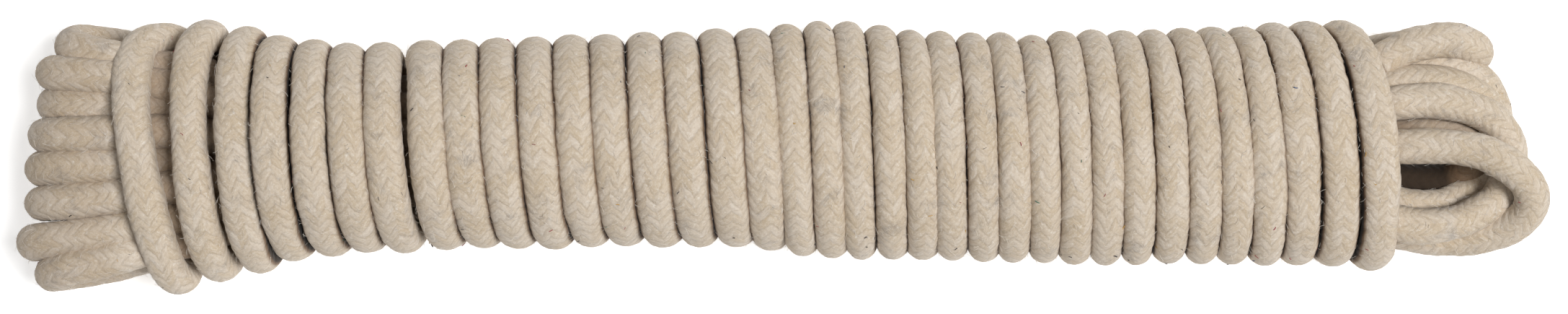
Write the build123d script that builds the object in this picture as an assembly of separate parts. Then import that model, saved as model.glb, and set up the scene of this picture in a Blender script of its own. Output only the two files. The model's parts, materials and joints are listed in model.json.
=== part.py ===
from build123d import *
from math import pi, radians, tan
import os

# Coiled dock line: one length of natural cotton braid folded into long lays and bound
# along almost its whole length with close turns of its own working end.
# Millimetres. +X runs along the hank, +Y across it, +Z up; it lies on Z = 0.
# The line is one piece of rope, so its nodes are the stretches where its lay changes.

# Driving dimensions
LINE = 8.0                 # diameter of the line
LAYS = 16                  # lengths of line inside the binding turns
PACKING = 0.9              # how much of the bundle's section the squeezed lays fill
REST_FLAT = 0.7            # how far the turns are flattened where the hank lies on them
CORNER_SHARE = 0.45        # share of the shorter run that each rounded corner uses

BOUND_LEFT = -148.6        # where the first binding turn begins
LEFT_END_HEIGHT = 63.4     # outside size of the turns across the hank, end to end
WAIST_HEIGHT = 49.0
BELLY_HEIGHT = 55.8
RIGHT_END_HEIGHT = 58.8

# Runs of binding turns from left to right: (node, turns, pitch, gap to the next run)
TURN_RUNS = [
    ("first_turn", 1, 8.0, 3.0),
    ("second_turn", 1, 8.0, 1.4),
    ("shoulder_turns", 5, 8.4, 1.6),
    ("waist_turns", 10, 8.5, 0.0),
    ("belly_turns", 12, 7.2, 0.0),
    ("end_turns", 7, 7.7, 0.0),
]

# Stations of the bound length: (share of its length, middle of the turns in y, height)
STATIONS = [
    (0.0, -0.5, LEFT_END_HEIGHT),
    (0.05, 1.0, 0.98 * LEFT_END_HEIGHT),
    (0.12, 2.2, 1.07 * WAIST_HEIGHT),
    (0.22, 2.6, WAIST_HEIGHT),
    (0.38, 3.6, 1.02 * WAIST_HEIGHT),
    (0.57, 4.0, BELLY_HEIGHT),
    (0.71, 2.2, 0.97 * BELLY_HEIGHT),
    (0.85, 2.5, 0.99 * BELLY_HEIGHT),
    (0.95, 3.1, 0.98 * RIGHT_END_HEIGHT),
    (1.0, 2.9, RIGHT_END_HEIGHT),
]

# Beyond the turns the lays spread: (reach, middle y, middle z, half height, half depth)
LEFT_SPREAD = (3.4, -0.3, 18.6, 32.2, 16.0)
RIGHT_SPREAD = (6.3, 2.9, 20.4, 24.6, 15.6)

# The eight folds at the left end, each reaching out from the spread lays:
# (y, middle z, half the spread of the two limbs, reach)
LEFT_FOLDS = [
    (26.8, 20.9, 7.5, 15.8),
    (19.9, 15.7, 8.5, 20.1),
    (12.1, 17.8, 9.4, 20.3),
    (5.1, 21.9, 9.4, 22.6),
    (-2.9, 19.4, 9.8, 23.0),
    (-11.8, 18.3, 9.4, 23.0),
    (-21.3, 16.0, 8.5, 24.4),
    (-28.3, 21.1, 7.5, 21.0),
]

# The seven loops at the right end, from the one in front to the hidden ones at the back.
# Each point is (how far out from the spread lays' face, y, z).
RIGHT_LOOPS = [
    [(-1, 2.2, 33.0), (9, 2.6, 34.4), (18.5, 1.4, 35.6), (27.4, -4, 34.8), (30.3, -12, 32),
     (25.4, -19.8, 28.4), (15.5, -23.2, 25.2), (7, -22.6, 23.4), (-1, -20.5, 22.6)],
    [(-1, 12.8, 31), (8, 12.9, 30.8), (16.5, 10.6, 29.2), (23.2, 5.2, 27),
     (25.4, -2.8, 25.6), (22, -10.4, 26), (15.5, -15, 28.6), (8, -17.8, 31),
     (-1, -17.4, 31.4)],
    [(-1, 18.6, 24.6), (7.5, 18.8, 24.2), (15, 16.4, 22.6), (20.8, 10.6, 20.2),
     (22.2, 2.6, 18.4), (19, -5.4, 18.6), (13, -11, 21.8), (6.5, -12.6, 24.6),
     (-1, -11.4, 25.2)],
    [(-1, 7.2, 25.2), (5.6, 7.4, 25), (10.4, 5.6, 24.2), (12.6, 1.2, 22.6), (9.8, -3, 21),
     (4.6, -4.6, 20), (-1, -4.6, 19.6)],
    [(-1, 24, 18), (6.5, 23.4, 17.2), (13, 18.8, 14.8), (18, 12, 12.2), (19.4, 3.6, 10.4),
     (16, -5, 10.4), (9.5, -11.4, 13.4), (4, -13.2, 15.8), (-1, -13, 16.8)],
    [(-1, 15.9, 16.6), (4.6, 15.2, 16.2), (8, 12, 15.6), (8.4, 7, 14.8), (4.8, 2.2, 14),
     (-1, 1.7, 13.8)],
    [(-1, 13.5, 8.6), (5, 13.4, 8.2), (9.4, 9.4, 7), (9.6, 1.4, 6), (5.2, -3.3, 6),
     (-1, -3.6, 6.4)],
]

# The last lay leaves the right end, turns down behind the loops and becomes the first of
# the binding turns.
WINDING_LEAD = [(-1, 26.2, 28.2), (6.5, 28.2, 30), (13.5, 28, 29), (18.6, 26.4, 24.5),
                (19, 26.4, 17.5), (14.5, 27, 11.4), (7, 27, 8.6), (0, 25.8, 9),
                (-7.4, 23.5, 10.2)]

# Each cut end of the line has a tight whipping of twine. Both ends run back to the left
# from the cut, the tail under the shoulder turns and the inner end among the lays.
WHIPPING_WALL = 0.5
WHIPPING_LENGTH = 9.0
WHIPPING_INSET = 3.0       # from the cut to the whipping
END_LENGTH = 42.0
TAIL_CUT_X = -92.0
TAIL_Y = 2.4
TAIL_CLEARANCE = 0.4       # between the whipping and the turns it lies under
INNER_CUT = (112.0, 6.0, 22.0)

BIG = 200.0                # larger than the hank in any direction


def bound_length():
    return sum(turns * pitch + gap for _, turns, pitch, gap in TURN_RUNS)


def bound_right():
    return BOUND_LEFT + bound_length()


def bundle_half_depth(half_height):
    """The lays keep their section's area, so a narrower bundle is a deeper one."""
    area = LAYS * pi * LINE**2 / 4 / PACKING
    return area / (pi * half_height)


def section(x, y, z, half_height, half_depth):
    return Plane.YZ.offset(x) * Pos(y, z) * Ellipse(half_height, half_depth)


def station_section(share, y, height, wall):
    """The bundle's section at a station, thickened by a wall."""
    half_height = height / 2 - LINE
    half_depth = bundle_half_depth(half_height)
    z = half_depth + LINE - REST_FLAT
    x = BOUND_LEFT + share * bound_length()
    return section(x, y, z, half_height + wall, half_depth + wall)


def bound_shape(wall):
    return loft([station_section(*station, wall) for station in STATIONS])


def slab(x_from, x_to, z_from=-BIG):
    return Pos((x_from + x_to) / 2, 0, z_from + BIG) * Box(x_to - x_from, 2 * BIG, 2 * BIG)


def spread(station, direction, reach, y, z, half_height, half_depth):
    """The lays between the outermost turn and what lies beyond it."""
    tight = station_section(*station, 0)
    face_x = BOUND_LEFT + station[0] * bound_length() + direction * reach
    return loft([tight, section(face_x, y, z, half_height, half_depth)])


def corner_radii(points):
    """Each corner is as round as its two runs allow."""
    vectors = [Vector(*point) for point in points]
    radii = []
    for before, corner, after in zip(vectors, vectors[1:], vectors[2:]):
        run_in, run_out = corner - before, after - corner
        turn = run_in.get_angle(run_out)
        shorter = min(run_in.length, run_out.length)
        radii.append(CORNER_SHARE * shorter / tan(radians(turn) / 2))
    return radii


def line_tube(name, points):
    """A stretch of line along straight runs joined by tangent arcs."""
    radii = corner_radii(points)
    path = FilletPolyline(*points, radius=radii)
    start = Plane(origin=path @ 0, z_dir=path % 0)
    tube = sweep(start * Circle(LINE / 2), path=path)
    expected = pi * LINE**2 / 4 * path.length
    print(f"{name}: length {path.length:.1f}, tightest radius {min(radii):.1f}, "
          f"volume {tube.volume / expected:.4f} of section times length")
    return tube


def left_fold(name, y, z, half_spread, reach):
    face_x = BOUND_LEFT - LEFT_SPREAD[0]
    tip_x = face_x - reach
    return line_tube(name, [
        (face_x, y, z + half_spread),
        (tip_x, y, z + half_spread),
        (tip_x, y, z - half_spread),
        (face_x, y, z - half_spread),
    ])


def right_stretch(name, points):
    face_x = bound_right() + RIGHT_SPREAD[0]
    return line_tube(name, [(face_x + out, y, z) for out, y, z in points])


def cut_end(cut_x, y, z):
    """The line's straight last stretch and the whipping round it."""
    axis = Plane(origin=(cut_x, y, z), z_dir=(-1, 0, 0))
    rope = extrude(axis * Circle(LINE / 2), amount=END_LENGTH)
    sleeve = Circle(LINE / 2 + WHIPPING_WALL) - Circle(LINE / 2)
    whipping = extrude(axis.offset(WHIPPING_INSET) * sleeve, amount=WHIPPING_LENGTH)
    return rope, whipping


def cut_ends():
    tail_z = LINE - REST_FLAT + TAIL_CLEARANCE + WHIPPING_WALL + LINE / 2
    tail, tail_whipping = cut_end(TAIL_CUT_X, TAIL_Y, tail_z)
    inner, inner_whipping = cut_end(*INNER_CUT)
    return {
        "tail_end": tail,
        "tail_whipping": tail_whipping,
        "inner_end": inner,
        "inner_whipping": inner_whipping,
    }


def lay_bundle(pockets):
    """The lays' outer shape, from the folds' face to the loops' face."""
    lays = bound_shape(0)
    lays += spread(STATIONS[0], -1, *LEFT_SPREAD)
    lays += spread(STATIONS[-1], 1, *RIGHT_SPREAD)
    for pocket in pockets:
        lays -= pocket
    return lays


def binding_turns():
    """Each run of turns as one closed sleeve round the lays, flat where it rests."""
    wall = bound_shape(LINE) - bound_shape(0)
    runs = {}
    x = BOUND_LEFT
    for name, turns, pitch, gap in TURN_RUNS:
        runs[name] = wall & slab(x, x + turns * pitch, z_from=0)
        x += turns * pitch + gap
    return runs


def build():
    nodes = cut_ends()
    nodes["lay_bundle"] = lay_bundle(list(nodes.values()))
    nodes.update(binding_turns())

    for number, fold in enumerate(LEFT_FOLDS, start=1):
        name = f"left_fold_{number}"
        nodes[name] = left_fold(name, *fold)

    beyond_lays = slab(bound_right() + RIGHT_SPREAD[0], BIG)
    for number, points in enumerate(RIGHT_LOOPS, start=1):
        name = f"right_loop_{number}"
        nodes[name] = right_stretch(name, points) & beyond_lays

    lead = right_stretch("winding_lead", WINDING_LEAD) & slab(bound_right(), BIG)
    nodes["winding_lead"] = lead - nodes["lay_bundle"]
    return nodes


os.makedirs("parts", exist_ok=True)
for node, shape in build().items():
    export_step(shape, f"parts/{node}.step")
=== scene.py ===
"""Coiled dock line: one length of natural cotton braid, folded into long lays and bound along
almost its whole length with close turns of its own working end. The scene's units are metres."""
import json
from functools import lru_cache
from math import cos, pi, sin

import bpy
import numpy as np
from bpy.props import FloatProperty, FloatVectorProperty, IntProperty, PointerProperty
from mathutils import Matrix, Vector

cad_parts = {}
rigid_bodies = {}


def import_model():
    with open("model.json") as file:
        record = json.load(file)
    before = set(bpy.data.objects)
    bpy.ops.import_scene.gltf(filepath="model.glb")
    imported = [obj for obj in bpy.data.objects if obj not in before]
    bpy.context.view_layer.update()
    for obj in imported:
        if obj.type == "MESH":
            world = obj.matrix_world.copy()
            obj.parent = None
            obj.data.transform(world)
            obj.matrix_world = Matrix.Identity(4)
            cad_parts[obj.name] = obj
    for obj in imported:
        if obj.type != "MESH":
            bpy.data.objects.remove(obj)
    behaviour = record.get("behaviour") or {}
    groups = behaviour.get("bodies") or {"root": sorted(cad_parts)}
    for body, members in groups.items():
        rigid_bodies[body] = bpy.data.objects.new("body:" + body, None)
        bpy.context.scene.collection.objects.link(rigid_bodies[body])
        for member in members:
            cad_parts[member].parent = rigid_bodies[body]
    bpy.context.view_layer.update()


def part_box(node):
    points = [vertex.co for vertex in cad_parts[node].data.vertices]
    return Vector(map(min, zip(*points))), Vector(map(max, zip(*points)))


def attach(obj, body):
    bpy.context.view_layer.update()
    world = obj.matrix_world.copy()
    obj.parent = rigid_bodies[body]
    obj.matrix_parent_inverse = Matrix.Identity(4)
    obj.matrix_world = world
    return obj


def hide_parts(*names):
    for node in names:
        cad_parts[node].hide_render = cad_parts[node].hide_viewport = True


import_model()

bl_info = {
    "name": "Coiled Dock Line",
    "version": (1, 0, 0),
    "blender": (4, 5, 0),
    "location": "3D View > Sidebar > Dock Line",
    "description": "A bound hank of braided cotton dock line on a plain floor",
    "category": "Add Mesh",
}

BODY = "root"

# The bound length, as the CAD model has it
LINE = 0.008               # diameter of the line
LAYS = 16                  # lengths of line inside the binding turns
PACKING = 0.9              # how much of the bundle's section the squeezed lays fill
REST_FLAT = 0.0007         # how far the turns are flattened where the hank lies on them
BOUND_LEFT = -0.1486
TURN_RUNS = [              # (turns, pitch, gap to the next run)
    (1, 0.0080, 0.0030),
    (1, 0.0080, 0.0014),
    (5, 0.0084, 0.0016),
    (10, 0.0085, 0.0),
    (12, 0.0072, 0.0),
    (4, 0.00735, 0.0),
    (3, 0.00817, 0.0),
]
BOUND_LENGTH = sum(turns * pitch + gap for turns, pitch, gap in TURN_RUNS)
BOUND_RIGHT = BOUND_LEFT + BOUND_LENGTH

# Stations of the bound length: (share of it, middle of the turns in y, height across, slant of
# a turn's front limb, how far that limb bows to the right of a straight one, and how much the
# bow is drawn towards its top)
STATIONS = [
    (0.00, -0.0014, 0.0656, 0.0060, -0.0060, 2.1),
    (0.05, 0.0011, 0.0626, 0.0030, -0.0030, 1.6),
    (0.085, 0.0015, 0.0588, 0.0036, -0.0016, 1.5),
    (0.12, 0.0021, 0.0526, 0.0040, -0.0006, 1.3),
    (0.17, 0.0020, 0.0494, 0.0050, 0.0004, 1.0),
    (0.25, 0.0027, 0.0490, 0.0054, 0.0002, 1.0),
    (0.38, 0.0038, 0.0500, 0.0048, 0.0, 1.0),
    (0.48, 0.0045, 0.0515, 0.0050, 0.0, 1.0),
    (0.53, 0.0042, 0.0543, 0.0038, 0.0, 1.0),
    (0.57, 0.0039, 0.0562, 0.0034, 0.0, 1.0),
    (0.63, 0.0026, 0.0542, 0.0031, 0.0, 1.0),
    (0.72, 0.0018, 0.0535, 0.0030, 0.0, 1.0),
    (0.77, 0.0021, 0.0550, 0.0031, 0.0, 1.0),
    (0.84, 0.0026, 0.0550, 0.0042, 0.0003, 1.0),
    (0.90, 0.0026, 0.0560, 0.0056, 0.0006, 1.0),
    (0.94, 0.0033, 0.0578, 0.0062, 0.0010, 1.0),
    (1.00, 0.0027, 0.0592, 0.0084, 0.0026, 1.0),
]

# The eight folds at the left end. Across the hank: the upper limb and the lower one at the
# fold's tip, then both at the spread lays' face; then (middle z, half spread, reach).
LEFT_FOLDS = [
    ((0.0256, 0.0278, 0.0222, 0.0256), (0.0180, 0.0072, 0.0156)),
    ((0.0197, 0.0200, 0.0184, 0.0190), (0.0188, 0.0090, 0.0195)),
    ((0.0123, 0.0125, 0.0120, 0.0123), (0.0172, 0.0092, 0.0197)),
    ((0.0050, 0.0050, 0.0056, 0.0056), (0.0202, 0.0092, 0.0209)),
    ((-0.0029, -0.0029, -0.0014, -0.0014), (0.0186, 0.0096, 0.0222)),
    ((-0.0111, -0.0112, -0.0090, -0.0092), (0.0183, 0.0094, 0.0224)),
    ((-0.0203, -0.0207, -0.0168, -0.0170), (0.0178, 0.0088, 0.0247)),
    ((-0.0274, -0.0282, -0.0228, -0.0244), (0.0192, 0.0075, 0.0198)),
]
FOLD_FACE = BOUND_LEFT - 0.0034
# The lays of each fold where the first two turns hold them: (y, upper z, lower z)
LEFT_NECK_X = (-0.1455, -0.1375)
LEFT_NECKS = [
    (0.0208, 0.0232, 0.0150),
    (0.0166, 0.0262, 0.0140),
    (0.0113, 0.0250, 0.0128),
    (0.0058, 0.0284, 0.0140),
    (-0.0007, 0.0262, 0.0122),
    (-0.0071, 0.0282, 0.0140),
    (-0.0143, 0.0262, 0.0136),
    (-0.0203, 0.0236, 0.0150),
]

# The loops at the right end, from the one in front to the hidden ones at the back. Each point
# is (how far out from the spread lays' face, y, z).
LOOP_FACE = BOUND_RIGHT + 0.0063
RIGHT_SPREAD = (0.0029, 0.0204, 0.0246, 0.0156)   # the face's middle y and z, half height and half depth
RIGHT_NECK_X = 0.1395                             # where the last turn holds the lays
RIGHT_NECK_FILL = 0.93                            # how much of the last turn's inside they take
RIGHT_LOOPS = [
    [(-0.001, 0.0022, 0.0334), (0.009, 0.0026, 0.0352), (0.0185, 0.0008, 0.0366),
     (0.0270, -0.0048, 0.0356), (0.0298, -0.0116, 0.0324), (0.0252, -0.0170, 0.0284),
     (0.0160, -0.0194, 0.0246), (0.007, -0.0192, 0.0222), (-0.001, -0.0180, 0.0214)],
    [(-0.001, 0.0130, 0.0310), (0.008, 0.0132, 0.0312), (0.0168, 0.0112, 0.0304),
     (0.0236, 0.0066, 0.0284), (0.0258, -0.0018, 0.0268), (0.0230, -0.0098, 0.0272),
     (0.0155, -0.0142, 0.0294), (0.008, -0.0162, 0.0310), (-0.001, -0.0162, 0.0310)],
    [(-0.001, 0.0176, 0.0256), (0.0075, 0.0176, 0.0272), (0.0140, 0.0162, 0.0272),
     (0.0208, 0.0118, 0.0244), (0.0240, 0.0048, 0.0212), (0.0222, -0.0030, 0.0196),
     (0.0170, -0.0092, 0.0204), (0.0090, -0.0122, 0.0232), (-0.001, -0.0114, 0.0246)],
    [(-0.001, 0.0050, 0.0262), (0.0070, 0.0052, 0.0270), (0.0145, 0.0044, 0.0264),
     (0.0186, -0.0002, 0.0226), (0.0150, -0.0050, 0.0188), (0.0080, -0.0062, 0.0176),
     (-0.001, -0.0052, 0.0180)],
    [(-0.001, 0.0212, 0.0206), (0.0065, 0.0212, 0.0222), (0.0135, 0.0204, 0.0232),
     (0.0200, 0.0178, 0.0216), (0.0240, 0.0118, 0.0180), (0.0250, 0.0040, 0.0142),
     (0.0210, -0.0046, 0.0120), (0.0120, -0.0110, 0.0130), (-0.001, -0.0130, 0.0160)],
    [(-0.001, 0.0159, 0.0166), (0.0046, 0.0152, 0.0162), (0.008, 0.0120, 0.0156),
     (0.0084, 0.0070, 0.0148), (0.0048, 0.0022, 0.0140), (-0.001, 0.0017, 0.0138)],
    [(-0.001, 0.0135, 0.0086), (0.005, 0.0134, 0.0082), (0.0094, 0.0094, 0.0070),
     (0.0096, 0.0014, 0.0060), (0.0052, -0.0033, 0.0060), (-0.001, -0.0036, 0.0064)],
]
WINDING_LEAD = [
    (-0.001, 0.0250, 0.0256), (0.0055, 0.0271, 0.0270), (0.0125, 0.0276, 0.0268),
    (0.0182, 0.0256, 0.0238), (0.0192, 0.0236, 0.0176), (0.0170, 0.0240, 0.0120),
    (0.0115, 0.0256, 0.0090), (0.004, 0.0264, 0.0086), (-0.003, 0.0254, 0.0090),
    (-0.0074, 0.0235, 0.0102),
]

# The order in which the line makes the folds and loops: the number of the fold or loop, and
# whether it is passed backwards, from its lower limb or its last point.
FOLD_ORDER = [(4, True), (7, True), (3, False), (6, True),
              (2, False), (5, True), (8, False), (1, True)]
LOOP_ORDER = [(4, False), (2, True), (7, False), (3, True), (6, False), (1, False), (5, True)]

INNER_CUT = (0.112, 0.006, 0.022)
INNER_RUN = [INNER_CUT, (0.100, 0.006, 0.022), (0.084, 0.006, 0.022)]
INNER_JOINS = 0.060        # the station of the lays from which the inner end is a lay
TAIL_CUT_X = -0.092
TAIL_Y, TAIL_Z = 0.0024, 0.0122
# The tail, from the crest of the first turn to where it runs straight to its cut
TAIL_TUCK = [
    (-0.1434, 0.0272, 0.0150), (-0.1408, 0.0238, 0.0104), (-0.1396, 0.0176, 0.0098),
    (-0.1380, 0.0112, 0.0112), (-0.1348, 0.0060, 0.0120), (-0.1300, 0.0032, 0.0122),
    (-0.1220, 0.0024, 0.0122), (-0.1070, 0.0024, 0.0122), (TAIL_CUT_X, TAIL_Y, TAIL_Z),
]

# How the hank is drawn
TURN_POINTS = 16           # control points in each binding turn
LEAD_POINT = 11            # the one at which the winding lead joins the last turn
BACK_POINT = 12            # the one in the middle of a turn's back
LEAD_STEP = 0.0006         # how far left of the last turn's foot it comes in
LOWEST_MIDDLE = LINE / 2 - 0.0002   # of a turn, where the floor presses it
UNEVEN_PLACE, UNEVEN_DEPTH, UNEVEN_BOW = 0.00022, 0.00015, 0.0004
ROUTE_STEPS = 16           # points that Blender makes for each control point
LAY_STATIONS = [-0.126, -0.108, -0.088, -0.060, -0.030, 0.0, 0.030, 0.060, 0.090, 0.116, 0.131]
LAY_SPACING = 0.0079       # between the middles of neighbouring lays
LAYS_INSIDE = 0.46 * LINE  # between the bundle's outline and the middles of the outer lays
SETTLE_ROUNDS, SETTLE_PUSH = 80, 0.32   # how often and how far the lays push each other apart
LAYS_PART = 0.02           # x at which one lay cover ends and the next begins
FINE_STEP = 0.00055        # between the cover's rings where it shows
COARSE_STEP = 0.004        # and where it is hidden
LAYS_SHOW = ((-1, -0.1235), (-0.0895, -0.0815), (0.1355, 1))   # from and to, in x
AROUND = 36                # points in each ring
FLOOR_GAP = 0.00005        # between the floor and the lowest points
CORE_WIDTH = 0.0066
STRAND_SLOPE = 0.95        # rows of the braid that a strand crosses in one column
BRAID_COLUMNS = 10
MEAN_RELIEF = 0.55         # of the braid's height, which is 0 to 1
SEED = 23

# Slow wanders along the line: (number added to the seed, from swing to swing in metres, and
# how much): of the braid's columns and rows, the phases of their two waves round the line, the
# line's thickness and the phase of its lumps, how oval a lay is, and how full a turn
WANDERS = {
    "columns": (3, 0.9, 0.12), "rows": (5, 0.021, 0.16),
    "column_wave": (7, 0.03, 1.6), "row_wave": (9, 0.024, 2.0),
    "thickness": (11, 0.017, 1.0), "lumps": (13, 0.026, 2.6),
    "oval": (17, 0.05, 0.02), "fill": (19, 0.07, 0.05),
}
COLUMN_WAVE, ROW_WAVE = 0.10, 0.12      # how far those waves move the braid, in columns and rows

# A turn's section, as shares of the line's diameter where nothing else is said
WIDEST_HALF = 0.56
THINNEST_HALF, THICKEST_HALF = 0.49, 0.53
FACE_POWER = 2.5           # 2 is a round section, and more is a squarer one
CREST_POWER_LESS = 0.45    # how much rounder it is at the top and bottom edges
OPEN_GAP = 0.0012          # a gap between turns from which their sides are in the open

# The lays' cover
FOLDS_PLUMP = 0.035        # how much thicker the line is in the folds, where nothing squeezes it
OPEN_LEFT, OPEN_RIGHT = -0.148, 0.142   # beyond these the lays are in the open
INSIDE_PAINTED_SHADE = 0.34         # painted shade on the lays between them, as a share
FOLDS_PAINTED_SHADE = 0.17          # and painted shade on the folds, as a share
# The eye of the largest loop, where painted shadow darkens the lays inside to near-black: (low, softness,
# high, softness) in x, y and z
EYE_PAINTED_SHADOW = ((0.1395, 0.002, 0.1685, 0.010), (-0.0090, 0.002, 0.0070, 0.002), (0.0150, 0.0015, 0.0285, 0.006))

# The stage
KEY_LIGHT = ("key_light", (1.10, 0.02, 2.40), 68.5)      # name, place, power
FILL_LIGHT = ("fill_light", (-0.45, -0.12, 1.3), 3.2)
LIGHT_SIZE = 0.9
WORLD_LIGHT, FLOOR_LIGHT = 0.10, 0.50
CAMERA_PLACE = (0.0016, -0.0001, 0.724)
CAMERA_LENS, CAMERA_SENSOR = 68.07, 36.0


# ---------------------------------------------------------------- the line's route

def station_values(x):
    """(middle y, height, slant, bow, skew of the bow) of the binding turns at x."""
    share = (np.asarray(x) - BOUND_LEFT) / BOUND_LENGTH
    table = np.array(STATIONS)
    return [np.interp(share, table[:, 0], table[:, column]) for column in range(1, 6)]


def bundle_half_depth(half_height):
    """The lays keep their section's area, so a narrower bundle is a deeper one."""
    return LAYS * pi * LINE**2 / 4 / PACKING / (pi * half_height)


def bundle_section(x):
    """(middle y, middle z, half height, half depth) of the lays at x."""
    middle_y, height, *_ = station_values(x)
    half_height = height / 2 - LINE
    half_depth = bundle_half_depth(half_height)
    return middle_y, half_depth + LINE - REST_FLAT, half_height, half_depth


def turn_centres():
    """(x, pitch) of each binding turn, from the left."""
    turns, x = [], BOUND_LEFT
    for count, pitch, gap in TURN_RUNS:
        turns += [(x + (k + 0.5) * pitch, pitch) for k in range(count)]
        x += count * pitch + gap
    return turns


def settled(places, middle, halves, fixed=()):
    """Lays pushed apart until each has its own room, and kept inside the binding turns."""
    places = np.array(places, float)
    room = np.array(halves) - LAYS_INSIDE
    for _ in range(SETTLE_ROUNDS):
        apart = places[:, None] - places[None]
        distance = np.linalg.norm(apart, axis=2) + 1e-9
        push = np.clip(LAY_SPACING - distance, 0, None)
        np.fill_diagonal(push, 0)
        places += SETTLE_PUSH * (apart / distance[..., None] * push[..., None]).sum(1)
        for other in fixed:
            away = places - np.array(other)
            far = np.linalg.norm(away, axis=1)[:, None] + 1e-9
            places += away / far * np.clip(LAY_SPACING - far, 0, None)
        inside = (places - middle) / room
        over = np.linalg.norm(inside, axis=1)[:, None]
        places = np.where(over > 1, middle + inside / over * room, places)
    return places


def left_places():
    """The lays' places where the first turns hold them: for each fold its two limbs."""
    return {(fold, lower): (y, below if lower else above)
            for fold, (y, above, below) in enumerate(LEFT_NECKS, start=1)
            for lower in (False, True)}


def lay_ends():
    """For each of the sixteen lays, in the order in which the line makes them, the fold limb at
    its left end and its (y, z) at its right end."""
    ends = []
    arrive = INNER_CUT[1:]
    for step, (fold, backwards) in enumerate(FOLD_ORDER):
        ends.append(((fold, backwards), arrive))
        if step < len(LOOP_ORDER):
            loop, loop_backwards = LOOP_ORDER[step]
            points = RIGHT_LOOPS[loop - 1][::-1] if loop_backwards else RIGHT_LOOPS[loop - 1]
        else:
            points = WINDING_LEAD
        ends.append(((fold, not backwards), points[0][1:]))
        arrive = points[-1][1:]
    return ends


def lay_tracks():
    """Each lay's control points from left to right: (16 lays, stations, 3)."""
    ends = lay_ends()
    necks = left_places()
    left = np.array([necks[limb] for limb, _ in ends])
    right = np.array([place for _, place in ends])
    tracks = []
    for x in LEFT_NECK_X:
        tracks.append(np.column_stack([np.full(LAYS, x), left]))
    left_y, left_z, *left_halves = bundle_section(sum(LEFT_NECK_X) / 2)
    right_y, right_z, *right_halves = RIGHT_SPREAD
    start = (left - (left_y, left_z)) / left_halves
    end = (right - (right_y, right_z)) / right_halves
    for x in LAY_STATIONS:
        # Each lay's place eases from its left end's to its right end's.
        share = (x - LAY_STATIONS[0] + 0.012) / (LAY_STATIONS[-1] - LAY_STATIONS[0] + 0.02)
        share = share * share * (3 - 2 * share)
        middle_y, middle_z, half_height, half_depth = bundle_section(x)
        middle, halves = np.array([middle_y, middle_z]), np.array([half_height, half_depth])
        places = middle + (start * (1 - share) + end * share) * halves
        tail = [(TAIL_Y, TAIL_Z)] if x < TAIL_CUT_X else []
        places = settled(places, middle, halves, tail)
        tracks.append(np.column_stack([np.full(LAYS, x), places]))
    middle_y, middle_z, *halves = bundle_section(RIGHT_NECK_X - 0.001)
    neck = (middle_y, middle_z) + end * halves * RIGHT_NECK_FILL
    tracks.append(np.column_stack([np.full(LAYS, RIGHT_NECK_X), neck]))
    return np.array(tracks).transpose(1, 0, 2)


def fold_points(fold, backwards):
    """A fold at the left end, from its upper limb round to its lower one."""
    (tip_upper, tip_lower, face_upper, face_lower), (z, half_spread, reach) = LEFT_FOLDS[fold - 1]
    tip = FOLD_FACE - reach
    points = [(FOLD_FACE, face_upper, z + half_spread), (tip, tip_upper, z + half_spread),
              (tip, tip_lower, z - half_spread), (FOLD_FACE, face_lower, z - half_spread)]
    return points[::-1] if backwards else points


def at_loop_face(points):
    return [(LOOP_FACE + out, y, z) for out, y, z in points]


def hank_points():
    """The control points from the inner end through every lay, fold and loop to the winding
    lead's end."""
    tracks = lay_tracks()
    route = list(INNER_RUN)
    tracks[0][LAY_STATIONS.index(INNER_JOINS) + len(LEFT_NECK_X)][1:] = INNER_CUT[1:]
    for step, (fold, backwards) in enumerate(FOLD_ORDER):
        leftward, rightward = tracks[2 * step][::-1], tracks[2 * step + 1]
        if step == 0:
            leftward = leftward[leftward[:, 0] <= INNER_JOINS]
        route += [tuple(point) for point in leftward]
        route += fold_points(fold, backwards)
        route += [tuple(point) for point in rightward]
        if step < len(LOOP_ORDER):
            loop, loop_backwards = LOOP_ORDER[step]
            points = at_loop_face(RIGHT_LOOPS[loop - 1])
            route += points[::-1] if loop_backwards else points
    return route + at_loop_face(WINDING_LEAD)


def turn_shapes():
    """Each turn's sizes, from the left, slightly uneven as hand-wound turns are."""
    uneven = np.random.default_rng(SEED)
    shapes = []
    for x, _ in turn_centres():
        shift, lift, grow, bend = uneven.uniform(-1, 1, 4)
        middle_y, _, slant, bow, skew = (float(value) for value in station_values(x))
        _, middle_z, half_height, half_depth = (float(value) for value in bundle_section(x))
        shapes.append({
            "foot": x + UNEVEN_PLACE * shift + slant / 2,
            "crest": x + UNEVEN_PLACE * shift - slant / 2,
            "y": middle_y + UNEVEN_PLACE * lift,
            "z": middle_z,
            "half_y": (half_height + LINE / 2 + UNEVEN_PLACE * grow) / cos(pi / TURN_POINTS),
            "half_z": (half_depth + LINE / 2 + UNEVEN_DEPTH * grow) / cos(pi / TURN_POINTS),
            "bow": bow + UNEVEN_BOW * bend,
            "skew": skew,
        })
    return shapes


def turn_place(shape, number):
    """(y, z) of one of a turn's control points, counted from its bottom edge over the front."""
    angle = pi - 2 * pi * number / TURN_POINTS
    y = shape["y"] + shape["half_y"] * cos(angle)
    return y, max(shape["z"] + shape["half_z"] * sin(angle), LOWEST_MIDDLE)


def turn_points(shape, bottom_of_next):
    """A binding turn from the bottom edge over the front to the top edge, and behind the hank
    to the bottom edge of the next turn on the left."""
    points = []
    foot, crest = shape["foot"], shape["crest"]
    for number in range(TURN_POINTS):
        share = 2 * number / TURN_POINTS
        if share <= 1:
            bow = shape["bow"] * sin(pi * share**shape["skew"]) ** 0.75
            x = foot + (crest - foot) * share + bow
        else:
            x = crest + (bottom_of_next - crest) * (share - 1) ** 1.5
        points.append((x, *turn_place(shape, number)))
    return points


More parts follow.
